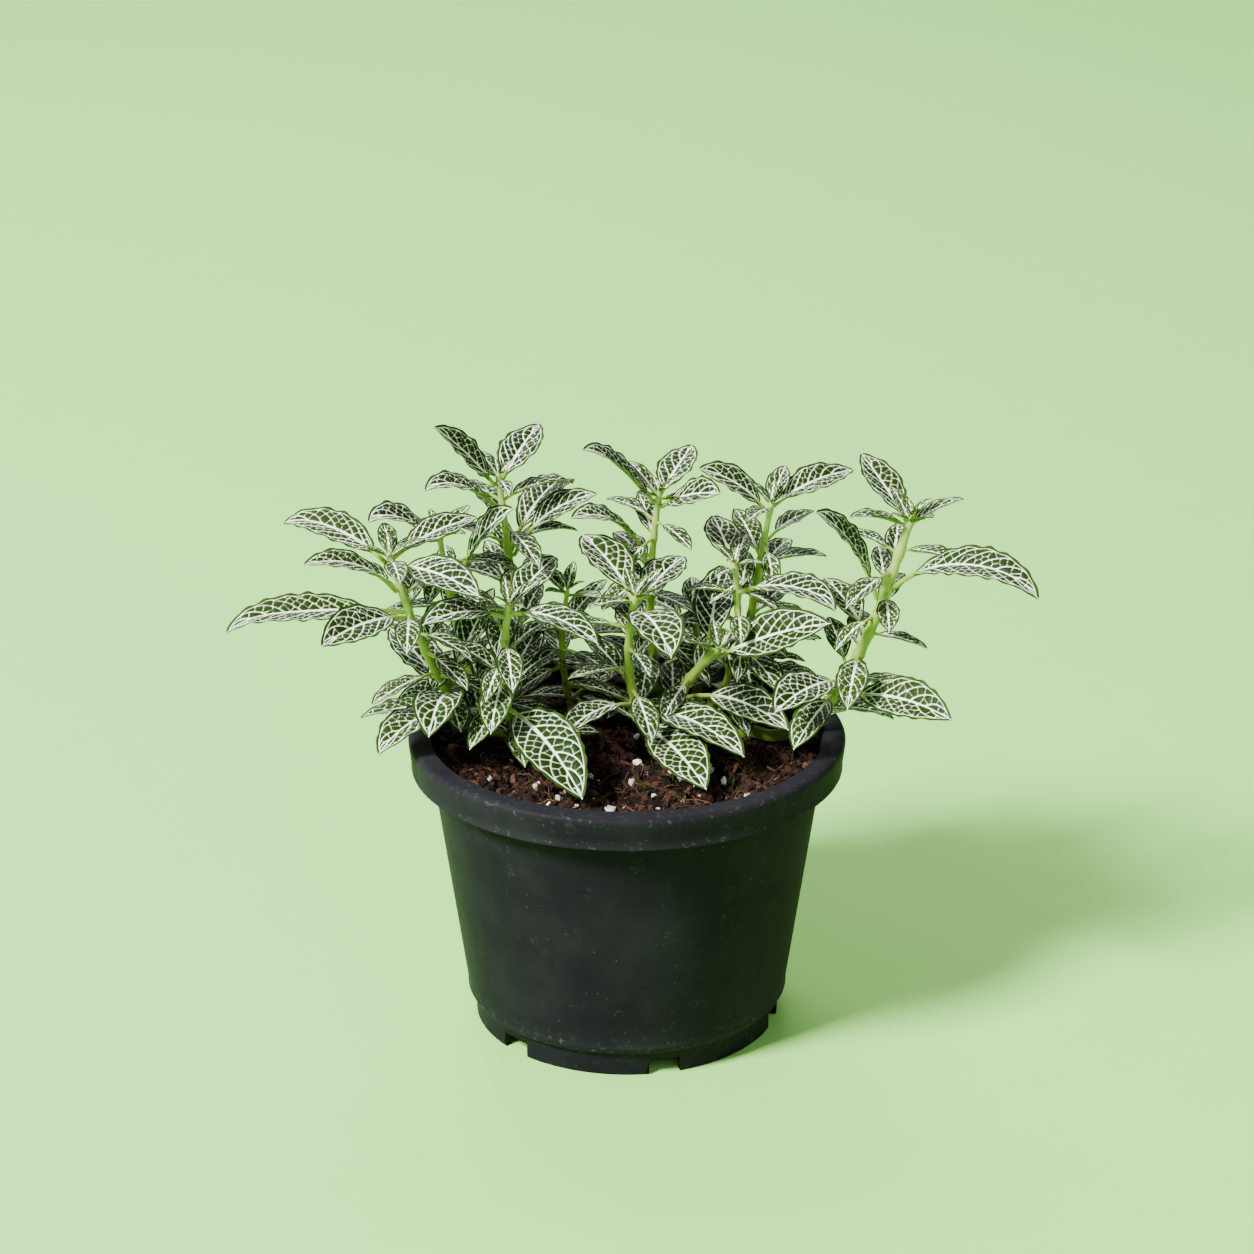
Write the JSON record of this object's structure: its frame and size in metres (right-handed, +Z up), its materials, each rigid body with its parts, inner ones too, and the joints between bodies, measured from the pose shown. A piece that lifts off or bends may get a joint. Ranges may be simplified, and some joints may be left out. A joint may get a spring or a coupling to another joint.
{
  "type": "potted nerve plant",
  "caption": "Leafy white-veined nerve plant on upright fleshy stems, growing from dark potting mix in a squat tapered nursery pot with a rolled rim and a notched foot ring.",
  "frame": {"origin": "on the pot's axis, at the surface that the pot stands on", "axes": "+Z up along the pot's axis; -Y towards the front of the plant; +X towards its right side"},
  "size_m": [0.1958, 0.11, 0.1549],
  "materials": {
    "pot_plastic": "satin black, lightly scuffed",
    "potting_mix": "rough dark peat with perlite grains",
    "stem_green": "soft satin green",
    "leaf_green": "satin dark green with white veins"
  },
  "bodies": {
    "root": {"leaf_back_1": "leaf_green", "leaf_back_2": "leaf_green", "leaf_back_3": "leaf_green", "leaf_back_4": "leaf_green", "leaf_back_left_1": "leaf_green", "leaf_back_left_2": "leaf_green", "leaf_back_right_1": "leaf_green", "leaf_back_right_2": "leaf_green", "leaf_centre_1": "leaf_green", "leaf_centre_2": "leaf_green", "leaf_centre_3": "leaf_green", "leaf_centre_4": "leaf_green", "leaf_centre_5": "leaf_green", "leaf_centre_6": "leaf_green", "leaf_centre_right_1": "leaf_green", "leaf_centre_right_2": "leaf_green", "leaf_centre_right_3": "leaf_green", "leaf_front_left_1": "leaf_green", "leaf_front_left_2": "leaf_green", "leaf_front_left_3": "leaf_green", "leaf_front_left_4": "leaf_green", "leaf_front_left_5": "leaf_green", "leaf_left_1": "leaf_green", "leaf_left_10": "leaf_green", "leaf_left_2": "leaf_green", "leaf_left_3": "leaf_green", "leaf_left_4": "leaf_green", "leaf_left_5": "leaf_green", "leaf_left_6": "leaf_green", "leaf_left_7": "leaf_green", "leaf_left_8": "leaf_green", "leaf_left_9": "leaf_green", "leaf_mid_right_1": "leaf_green", "leaf_mid_right_2": "leaf_green", "leaf_rear_1": "leaf_green", "leaf_rear_2": "leaf_green", "leaf_right_1": "leaf_green", "leaf_right_2": "leaf_green", "leaf_right_3": "leaf_green", "leaf_right_4": "leaf_green", "leaf_right_5": "leaf_green", "leaf_tall_left_1": "leaf_green", "leaf_tall_left_2": "leaf_green", "leaf_tall_left_3": "leaf_green", "leaf_tall_left_4": "leaf_green", "leaf_tall_left_5": "leaf_green", "pot": "pot_plastic", "soil": "potting_mix", "stem_back": "stem_green", "stem_back_left": "stem_green", "stem_back_right": "stem_green", "stem_centre": "stem_green", "stem_centre_right": "stem_green", "stem_front_left": "stem_green", "stem_left": "stem_green", "stem_mid_left": "stem_green", "stem_mid_right": "stem_green", "stem_rear": "stem_green", "stem_right": "stem_green", "stem_tall_left": "stem_green"}
  },
  "joints": []
}
